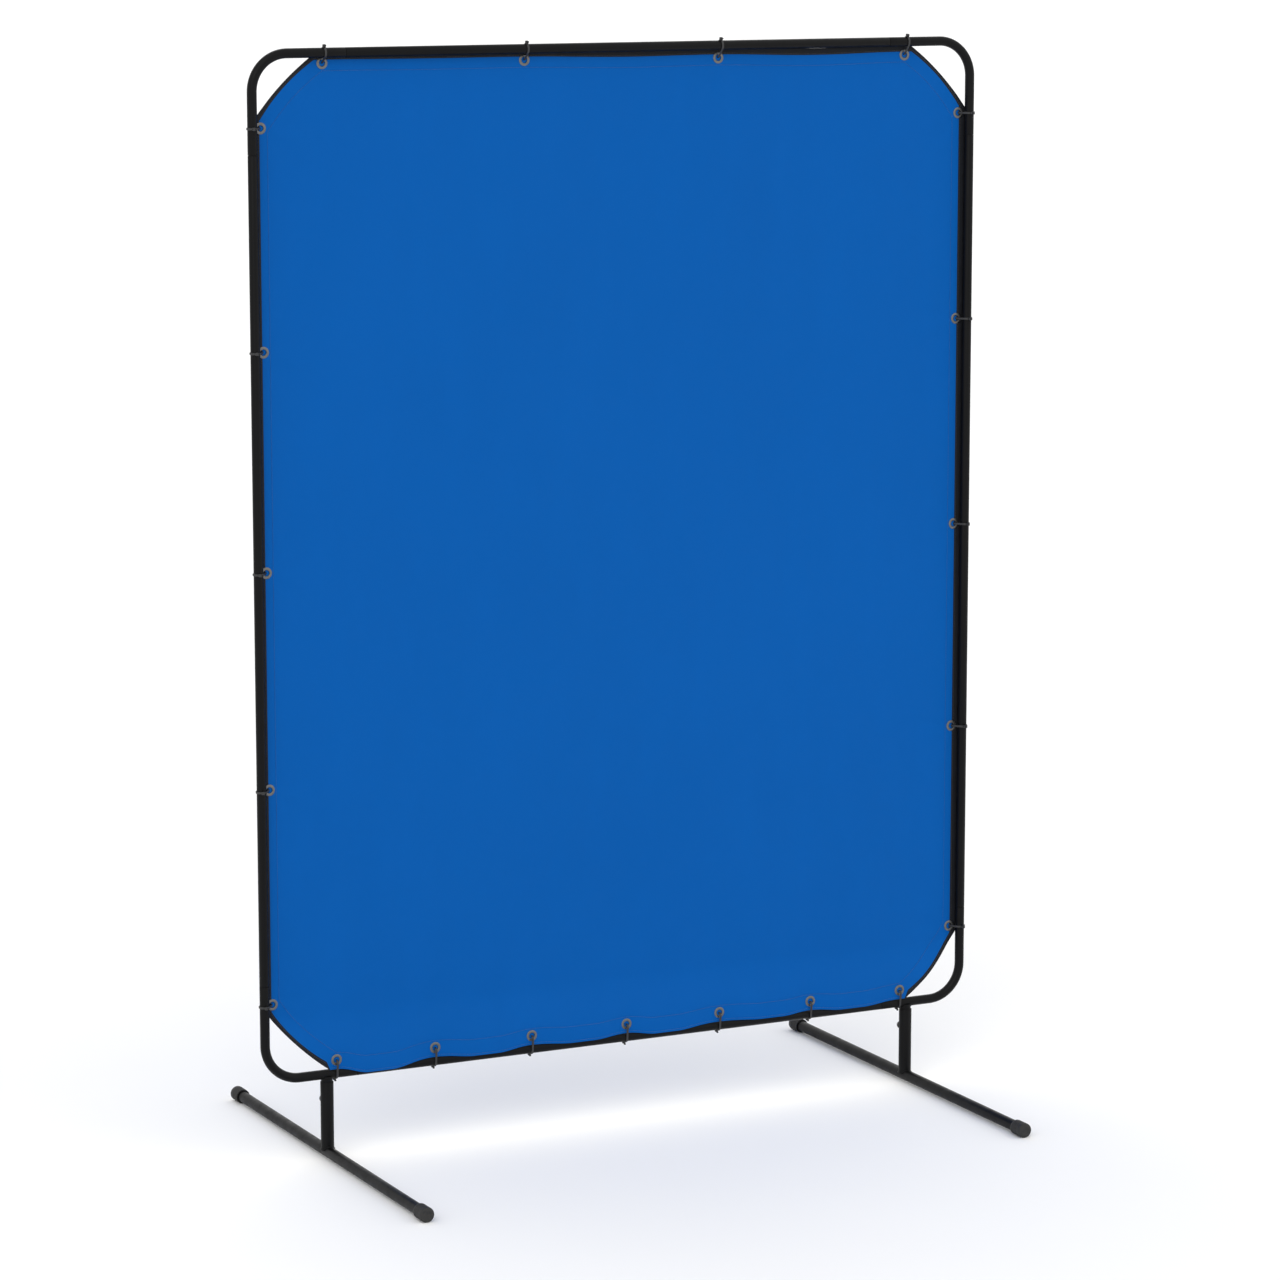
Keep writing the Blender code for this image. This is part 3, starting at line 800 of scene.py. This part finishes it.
class Sheet:
    """The hanging curtain: where each point of the flat cut comes to lie."""

    def __init__(self, settings):
        self.settings = settings
        self.columns = tie_columns()
        self.cut = settings.cut
        self.bow = settings.bulge * 4 * math.sqrt(0.5)
        holes = [centre(f"{name}_grommet") for name in TOP_TIES + SIDE_TIES]
        self.tight = [(spot.x, spot.z - BOTTOM) for spot in holes]

    def side_at(self, height):
        """Half the cut's width at this height."""
        rise = min(height - SHEET_BOTTOM, SHEET_TOP - height)
        if rise >= self.cut:
            return SHEET_SIDE
        linear = self.cut - self.bow
        share = (math.sqrt(linear * linear + 4 * self.bow * max(rise, 0.0)) - linear) / (2 * self.bow)
        return SHEET_SIDE - self.cut + self.cut * share + self.bow * share * (1 - share)

    def wave(self, x, height):
        """Fullness of the sheet, fading to nothing at its tied edges."""
        inside = min(SHEET_SIDE - abs(x), SHEET_TOP - height)
        free = smooth((inside - 0.012) / 0.16)
        full = self.settings.fullness
        broad = noise.noise(Vector((x * 2.1, height * 1.1, 3.7))) * 1.5 * full
        folds = full * 0.8 * math.cos(math.tau * x / 0.356 + 0.5 * math.sin(height * 2.3))
        folds *= 0.25 + 0.75 * math.exp(-(SHEET_TOP - height) / 0.35)
        low = full * 0.55 * math.cos(math.tau * (x - self.columns[0]) / 0.178)
        low *= math.exp(-height / 0.16) * smooth((height - 0.10) / 0.08)
        fine = noise.noise(Vector((x * 9.0, height * 5.0, 8.2))) * 0.22 * full
        depth = free * (broad + folds + fine) + smooth(inside / 0.05) * low
        return depth * smooth((height - 0.06) / 0.12)

    def pull(self, x, height):
        """Small folds that run out from each grommet."""
        depth = 0.0
        for hole_x, hole_height in self.tight:
            away = math.hypot(x - hole_x, height - hole_height)
            if 0.013 < away < 0.11:
                angle = math.atan2(height - hole_height, x - hole_x)
                fade = smooth((away - 0.013) / 0.02) * (1 - smooth((away - 0.03) / 0.08))
                depth += 0.0006 * fade * math.sin(7 * angle + hole_x * 9)
        inside = min(SHEET_SIDE - abs(x), SHEET_TOP - height)
        return depth * smooth((inside - 0.016) / 0.012)

    def hang(self, x, height):
        """Place of a flat point, x across and height above the bottom rail's centreline."""
        fall = flop(x, self.columns)
        turn = math.radians(32 + 80 * fall)
        reach = TUBE + 0.0012 + 0.0014 * fall
        edge = Vector((0, -reach * math.sin(turn), reach * math.cos(turn)))
        rise = height - SHEET_BOTTOM
        z = height + (edge.z - SHEET_BOTTOM) * (1 - smooth(rise / 0.26))
        start = 0.037 - 0.033 * fall
        y = edge.y + (SHEET_BACK - edge.y) * smooth((z - start) / (0.105 - start))
        z -= droop(x) * smooth(1 - (SHEET_TOP - height) / 0.5)
        y += self.wave(x, height) + self.pull(x, height)
        return Vector((x, y, BOTTOM + z))

    def face(self, x, height):
        """Direction that the sheet's front faces at a flat point."""
        step = 0.002
        across = self.hang(x + step, height) - self.hang(x - step, height)
        up = self.hang(x, height + step) - self.hang(x, height - step)
        return across.cross(up).normalized()

    def outline(self, inset_by):
        """Corners of the cut, from the lower right anticlockwise, moved in by a width for each side."""
        side, cut = SHEET_SIDE, self.cut
        right = [(side - cut, SHEET_BOTTOM), (side, SHEET_BOTTOM + cut)]
        right += [(side, SHEET_TOP - cut), (side - cut, SHEET_TOP)]
        corners = [Vector(spot) for spot in right + [(-x, height) for x, height in reversed(right)]]
        inset = []
        for number, corner in enumerate(corners):
            before = (corner - corners[number - 1]).normalized()
            after = (corners[(number + 1) % 8] - corner).normalized()
            first, second = Vector((-before.y, before.x)), Vector((-after.y, after.x))
            one, two = inset_by[number - 1], inset_by[number]
            scale = first.x * second.y - first.y * second.x
            move = Vector((one * second.y - two * first.y, two * first.x - one * second.x)) / scale
            inset.append(corner + move)
        return inset

    def edge_run(self, inset_by, sides, pitch):
        """Flat points this far apart along some sides of the cut, inset by a width for each side."""
        corners, cut = self.outline(inset_by), self.outline([0.0] * 8)
        run = []
        for number in sides:
            start, end = corners[number], corners[(number + 1) % 8]
            along = end - start
            out = Vector((along.y, -along.x)).normalized()
            bulge = self.settings.bulge if number % 2 == 0 else 0.0
            steps = max(round((cut[(number + 1) % 8] - cut[number]).length / pitch), 2)
            for step in range(steps):
                share = step / steps
                run.append(start + along * share + out * (bulge * 4 * share * (1 - share)))
        run.append(corners[(sides[-1] + 1) % 8])
        return run


BOUND = (0, 1, 2, 3, 4, 5, 6)  # every side of the cut but the bottom one
ALL_ROUND = (*BOUND, 7)


class WELDSCREEN_OT_add_curtain(bpy.types.Operator):
    """Add the curtain sheet with its hem, binding and stitching"""

    bl_idname = "weldscreen.add_curtain"
    bl_label = "Add Curtain"

    def execute(self, context):
        settings = context.scene.screen_curtain
        sheet = Sheet(settings)
        # Narrow real binding at the cuts; at the sides and top the black band is widened into painted
        # shadow of the tubes on the curtain.
        widths = [settings.cut_binding, settings.side_binding_and_shadow] * 4
        widths[3] = settings.top_binding
        curtain = self.add_sheet(context, settings, sheet)
        black = finish("webbing", webbing, tuple(settings.black))
        edges = [-0.0006] * 8
        binding = self.add_strip("edge_binding_and_shadow", sheet, edges, widths, BOUND, (-0.00092, 0.00082), black)
        folded = finish("vinyl", vinyl, tuple(settings.blue))
        hem_widths = [0.0004] * 8, [settings.hem] * 8
        hem = self.add_strip("rear_hem", sheet, *hem_widths, ALL_ROUND, (-0.00056, -0.0001), folded)
        dark = finish("dark_thread", thread, "black_thread", (0.012, 0.012, 0.014))
        blue = finish("blue_thread", thread, "blue_thread", tint(tuple(settings.blue), 0.7))
        rows = (
            ("binding_stitches", [width - 0.0022 for width in widths], BOUND, 0.00090, dark),
            ("hem_stitches", [settings.hem - 0.003] * 8, ALL_ROUND, 0.00045, blue),
            ("lower_hem_stitches", [0.0035] * 8, (7,), 0.00045, blue),
        )
        stitched = [self.add_stitches(name, sheet, *row) for name, *row in rows]
        return {"FINISHED"}

    def add_sheet(self, context, settings, sheet):
        """One continuous sheet, thickened, with a hole for each grommet."""
        heights = [SHEET_BOTTOM + step * 0.0035 for step in range(16)]
        heights += even(heights[-1], SHEET_BOTTOM + sheet.cut, 9)[1:]
        heights += even(heights[-1], SHEET_TOP - sheet.cut, 176)[1:]
        heights += even(heights[-1], SHEET_TOP, 17)[1:]
        across = 184
        points, faces = [], []
        for height in heights:
            half = sheet.side_at(height)
            for step in range(across + 1):
                points.append(sheet.hang(half * (2 * step / across - 1), height))
        row = across + 1
        for up in range(len(heights) - 1):
            for step in range(across):
                start = up * row + step
                faces.append((start, start + 1, start + row + 1, start + row))
        mesh = bpy.data.meshes.new("curtain_sheet")
        mesh.from_pydata([tuple(point) for point in points], [], faces)
        mesh.materials.append(finish("vinyl", vinyl, tuple(settings.blue)))
        work = bpy.data.objects.new("curtain_work", mesh)
        context.scene.collection.objects.link(work)
        thicken = work.modifiers.new("thickness", "SOLIDIFY")
        thicken.thickness = settings.thickness
        thicken.offset = 0.0
        drills = Build()
        through = [(PUNCHED_HOLE, -0.012), (PUNCHED_HOLE, 0.012)]
        for spot in grommet_spots(sheet).values():
            drills.revolve(through, Matrix.Translation(spot) @ ALONG_Y, 32)
        drill = bpy.data.objects.new("drill", drills.mesh("drill", mesh.materials[0]))
        context.scene.collection.objects.link(drill)
        punch = work.modifiers.new("holes", "BOOLEAN")
        punch.operation = "DIFFERENCE"
        punch.object = drill
        context.view_layer.update()
        graph = context.evaluated_depsgraph_get()
        made = bpy.data.meshes.new_from_object(work.evaluated_get(graph))
        for helper in (work, drill):
            bpy.data.objects.remove(helper, do_unlink=True)
        made.name = "curtain_sheet"
        made.shade_smooth()
        made.set_sharp_from_angle(angle=math.radians(40))
        return add_piece("curtain_sheet", made, "screen", ["curtain"])

    def add_strip(self, name, sheet, outer, inner, sides, offsets, material):
        """Band along the sheet's edge, from one inset to another and between two heights off the sheet."""
        shares = (0.0, 0.08, *even(0.16, 0.84, 5), 0.92, 1.0)
        runs = []
        for share in shares:
            inset = [first + (second - first) * share for first, second in zip(outer, inner)]
            runs.append(sheet.edge_run(inset, sides, 0.006))
        low, high = offsets
        middle = (low + high) / 2
        build = Build()
        rings = []
        for station in range(len(runs[0])):
            flats = [run[station] for run in runs]
            places = [sheet.hang(*flat) for flat in flats]
            faces = [sheet.face(*flat) for flat in flats]
            under, over = [], []
            for number, (place, face) in enumerate(zip(places, faces)):
                flatness = {0: 0.4, len(places) - 1: 0.6}.get(number, 1.0)
                under.append(place + face * (low * flatness + middle * (1 - flatness)))
                over.append(place + face * (high * flatness + middle * (1 - flatness)))
            rings.append(under + over[::-1])
        build.loft(rings, capped=True)
        return build.piece(name, material, "screen", "curtain_vinyl", sharp=50)

    def add_stitches(self, name, sheet, inset, sides, height, material):
        """Row of stitches on both faces of the sheet."""
        pitch = sheet.settings.stitch
        run = sheet.edge_run(inset, sides, pitch)
        build = Build()
        for start, end in zip(run, run[1:]):
            along = (end - start) * 0.8
            across = Vector((-along.y, along.x)).normalized()
            middle = start + along / 2
            front = sheet.face(*middle)
            for side in (1, -1):
                rings = []
                for share, thick in ((0.0, 0.00012), (0.2, 0.00034), (0.8, 0.00034), (1.0, 0.00012)):
                    flat = start + along * share
                    place = sheet.hang(*flat) + front * side * height
                    sideways = Vector((across.x, 0, across.y))
                    ring = []
                    for angle in turns(6):
                        offset = sideways * math.cos(angle) + front * side * math.sin(angle)
                        ring.append(place + offset * thick)
                    rings.append(ring)
                build.loft(rings, capped=True)
        return build.piece(name, material, "screen", "curtain_vinyl", sharp=60)


# Grommets and ties


def grommet_spots(sheet):
    """Name and place of every grommet, on the hanging sheet."""
    spots = {}
    for name in TOP_TIES + BOTTOM_TIES + SIDE_TIES:
        own = centre(f"{name}_grommet")
        spots[name] = sheet.hang(own.x, own.z - BOTTOM)
    height = centre("bottom_1_grommet").z - BOTTOM
    own = {round(centre(f"{name}_grommet").x, 4) for name in BOTTOM_TIES}
    between = [x for x in sheet.columns if round(x, 4) not in own]
    for number, x in enumerate(between, 1):
        spots[f"bottom_between_{number}"] = sheet.hang(x, height)
    return spots


class WELDSCREEN_OT_add_grommets(bpy.types.Operator):
    """Add the plated grommets"""

    bl_idname = "weldscreen.add_grommets"
    bl_label = "Add Grommets"

    def execute(self, context):
        outer = size("left_3_grommet").z / 2
        half = size("left_3_grommet").y / 2
        hole = GROMMET_HOLE
        profile = [(hole, -half * 0.55), (hole + 0.0003, -half * 0.85), (hole + 0.001, -half)]
        profile += [(outer - 0.0022, -half), (outer - 0.0008, -half * 0.88), (outer, -half * 0.58)]
        profile += [(outer - 0.0002, -0.00085), (hole + 0.0006, -0.00080), (hole + 0.0006, 0.00080)]
        profile += [(outer - 0.0002, 0.00085), (outer, half * 0.62), (outer - 0.0005, half * 0.8)]
        profile += [(outer - 0.0016, half * 0.8), (outer - 0.0022, half * 0.72)]
        profile += [(hole + 0.0022, half * 0.75), (hole + 0.0014, half)]
        profile += [(hole + 0.0005, half * 0.95), (hole, half * 0.6)]
        nickel = finish("nickel", plated, "dull_nickel", (0.16, 0.16, 0.162), 0.36)
        for name, spot in grommet_spots(Sheet(context.scene.screen_curtain)).items():
            build = Build()
            build.revolve(profile, Matrix.Translation(spot) @ ALONG_Y, 40, loop=True)
            stands_for = [] if "between" in name else [f"{name}_grommet"]
            build.piece(f"{name}_eyelet", nickel, "screen", "grommet_nickel", stands_for, sharp=50)
        return {"FINISHED"}


def taut_loop(rounds, steps):
    """(place, outward direction) round the tightest loop that encloses some circles in the YZ plane."""
    loop = []
    for angle in turns(steps):
        out = Vector((0, math.cos(angle), math.sin(angle)))
        spot, radius = max(rounds, key=lambda item: item[0].dot(out) + item[1])
        loop.append((spot + out * radius, out))
    return loop


# Where a tie's head sits, from the rear, round the tube, towards the outside of the frame
HEAD_DEGREES = {"top": 100, "bottom": 65, "left": 172, "right": 172}
HEAD_TURNS = {side: math.radians(degrees) for side, degrees in HEAD_DEGREES.items()}


class WELDSCREEN_OT_add_ties(bpy.types.Operator):
    """Add the cable ties round the tubes"""

    bl_idname = "weldscreen.add_ties"
    bl_label = "Add Cable Ties"

    def execute(self, context):
        settings = context.scene.screen_ties
        plastic = finish("nylon", nylon)
        spots = grommet_spots(Sheet(context.scene.screen_curtain))
        tubes = {
            "top": (lambda spot: (spot.x, 0, TOP), 0.0),
            "bottom": (lambda spot: (spot.x, 0, BOTTOM), math.pi),
            "left": (lambda spot: (-RIGHT, 0, spot.z), -math.pi / 2),
            "right": (lambda spot: (RIGHT, 0, spot.z), math.pi / 2),
        }
        for number, (name, spot) in enumerate(spots.items()):
            build = Build()
            side = name.split("_")[0]
            tube_at, turn = tubes[side]
            place = Matrix.Translation(tube_at(spot)) @ Matrix.Rotation(turn, 4, "Y")
            hole = place.inverted() @ spot
            clear = 0.0004 + settings.thickness / 2
            rounds = [(Vector((0, 0, 0)), TUBE + clear)]
            if side == "bottom":
                rounds.append((Vector((0, hole.y, hole.z + 0.006)), 0.006))
            else:
                rounds.append((Vector((0, hole.y + 0.0005, hole.z + 0.004)), 0.004))
                rounds.append((Vector((0, hole.y + 0.0006, hole.z + 0.016)), clear))
            self.strap(build, settings, place, rounds)
            self.head_and_tail(build, settings, place, rounds[0][1], HEAD_TURNS[side], number)
            stands_for = [] if "between" in name else [f"{name}_tie"]
            build.piece(f"{name}_cable_tie", plastic, "screen", "tie_nylon", stands_for)
        return {"FINISHED"}

    def strap_ring(self, settings, place, spot, side, out, thickness):
        """Rounded cross-section of the strap."""
        half, flat = settings.width / 2, thickness / 2
        corner = flat * 0.55
        lower = [(-half, -flat + corner), (-half + corner, -flat)]
        lower += [(half - corner, -flat), (half, -flat + corner)]
        shape = lower + [(-across, -through) for across, through in lower]
        return [place @ (spot + side * across + out * through) for across, through in shape]

    def strap(self, build, settings, place, rounds):
        side = Vector((1, 0, 0))
        rings = []
        for spot, out in taut_loop(rounds, 60):
            rings.append(self.strap_ring(settings, place, spot, side, out, settings.thickness))
        build.loft(rings, loop=True)

    def head_and_tail(self, build, settings, place, radius, angle, number):
        """Square head with its pawl window, and the cut tail with its ratchet teeth."""
        out = Vector((0, math.cos(angle), math.sin(angle)))
        side = Vector((1, 0, 0))
        along = Vector((0, math.sin(angle), -math.cos(angle)))
        if along.y > 0:
            along = -along
        middle = out * (radius + 0.0020)
        turned = Matrix((side, along, out)).transposed().to_4x4()
        for spot, sizes, rounding in (
            (middle, (0.0052, 0.0044, 0.0046), 0.0007),
            (middle + out * 0.0022, (0.0026, 0.0020, 0.0008), 0.0002),
        ):
            build.block(place @ Matrix.Translation(spot) @ turned, sizes, rounding)
        length = settings.tail + 0.0015 * ((number * 7) % 5) / 4
        rings = []
        for step, share in enumerate(even(0.0, 1.0, 15)):
            spot = middle + along * (0.0015 + share * length) + out * (0.0016 * share * share)
            tooth = settings.thickness * (1.0 if step % 2 else 0.72)
            rings.append(self.strap_ring(settings, place, spot, side, out, tooth))
        build.loft(rings, capped=True)


# Stage


class WELDSCREEN_OT_add_stage(bpy.types.Operator):
    """Add the pale floor, the soft light and the camera"""

    bl_idname = "weldscreen.add_stage"
    bl_label = "Add Stage"

    def execute(self, context):
        build = Build()
        build.points = circle(Matrix.Identity(4), 180.0, -0.0004, 96)
        build.faces = [tuple(range(96))]
        floor = bpy.data.objects.new("floor", build.mesh("floor", pale_floor()))
        context.scene.collection.objects.link(floor)
        self.add_light("key_light", (math.radians(52), 0, math.radians(-38)), 0.66, 45)
        self.add_light("fill_light", (math.radians(60), 0, math.radians(50)), 0.25, 60)
        self.add_light("rear_light", (math.radians(48), 0, math.radians(165)), 0.26, 60)
        world = bpy.data.worlds.new("studio")
        world.use_nodes = True
        sky = world.node_tree.nodes["Background"].inputs
        sky["Color"].default_value = (1, 1, 1, 1)
        sky["Strength"].default_value = 1.0
        context.scene.world = world
        context.scene.view_settings.view_transform = "Standard"
        self.add_camera(context)
        return {"FINISHED"}

    def add_camera(self, context):
        """Camera to the left of the screen's front, looking slightly down."""
        data = bpy.data.cameras.new("camera")
        data.lens = 128.2
        data.sensor_width = 36.0
        data.clip_end = 500.0
        camera = bpy.data.objects.new("camera", data)
        camera.location = (-3.340, -6.774, 2.103)
        camera.rotation_euler = (math.radians(90 - 9.57), 0, math.radians(-26.44))
        context.scene.collection.objects.link(camera)
        context.scene.camera = camera

    def add_light(self, name, turn, strength, softness):
        data = bpy.data.lights.new(name, "SUN")
        data.energy = strength
        data.angle = math.radians(softness)
        light = bpy.data.objects.new(name, data)
        light.rotation_euler = turn
        bpy.context.scene.collection.objects.link(light)


class WELDSCREEN_PT_panel(bpy.types.Panel):
    """Lists the screen's settings and the pieces that can be added"""

    bl_label = "Welding Screen"
    bl_space_type = "VIEW_3D"
    bl_region_type = "UI"
    bl_category = "Welding Screen"

    def draw(self, context):
        for name, title, settings in SETTINGS:
            box = self.layout.box()
            box.label(text=title)
            for value in settings.__annotations__:
                box.prop(getattr(context.scene, name), value)
        for operator in OPERATORS:
            self.layout.operator(operator.bl_idname)


SETTINGS = (
    ("screen_frame", "Frame", FrameSettings),
    ("screen_curtain", "Curtain", CurtainSettings),
    ("screen_ties", "Cable ties", TieSettings),
)
OPERATORS = (
    WELDSCREEN_OT_add_stage,
    WELDSCREEN_OT_add_frame,
    WELDSCREEN_OT_add_feet,
    WELDSCREEN_OT_add_clamps,
    WELDSCREEN_OT_add_curtain,
    WELDSCREEN_OT_add_grommets,
    WELDSCREEN_OT_add_ties,
)


def register():
    for name, _, settings in SETTINGS:
        bpy.utils.register_class(settings)
        setattr(bpy.types.Scene, name, PointerProperty(type=settings))
    for kind in (*OPERATORS, WELDSCREEN_PT_panel):
        bpy.utils.register_class(kind)


def unregister():
    for kind in (WELDSCREEN_PT_panel, *reversed(OPERATORS)):
        bpy.utils.unregister_class(kind)
    for name, _, settings in reversed(SETTINGS):
        delattr(bpy.types.Scene, name)
        bpy.utils.unregister_class(settings)


def main():
    register()
    bpy.ops.weldscreen.add_stage()
    bpy.ops.weldscreen.add_frame()
    bpy.ops.weldscreen.add_feet()
    bpy.ops.weldscreen.add_clamps()
    bpy.ops.weldscreen.add_curtain()
    bpy.ops.weldscreen.add_grommets()
    bpy.ops.weldscreen.add_ties()


if __name__ == "__main__":
    main()
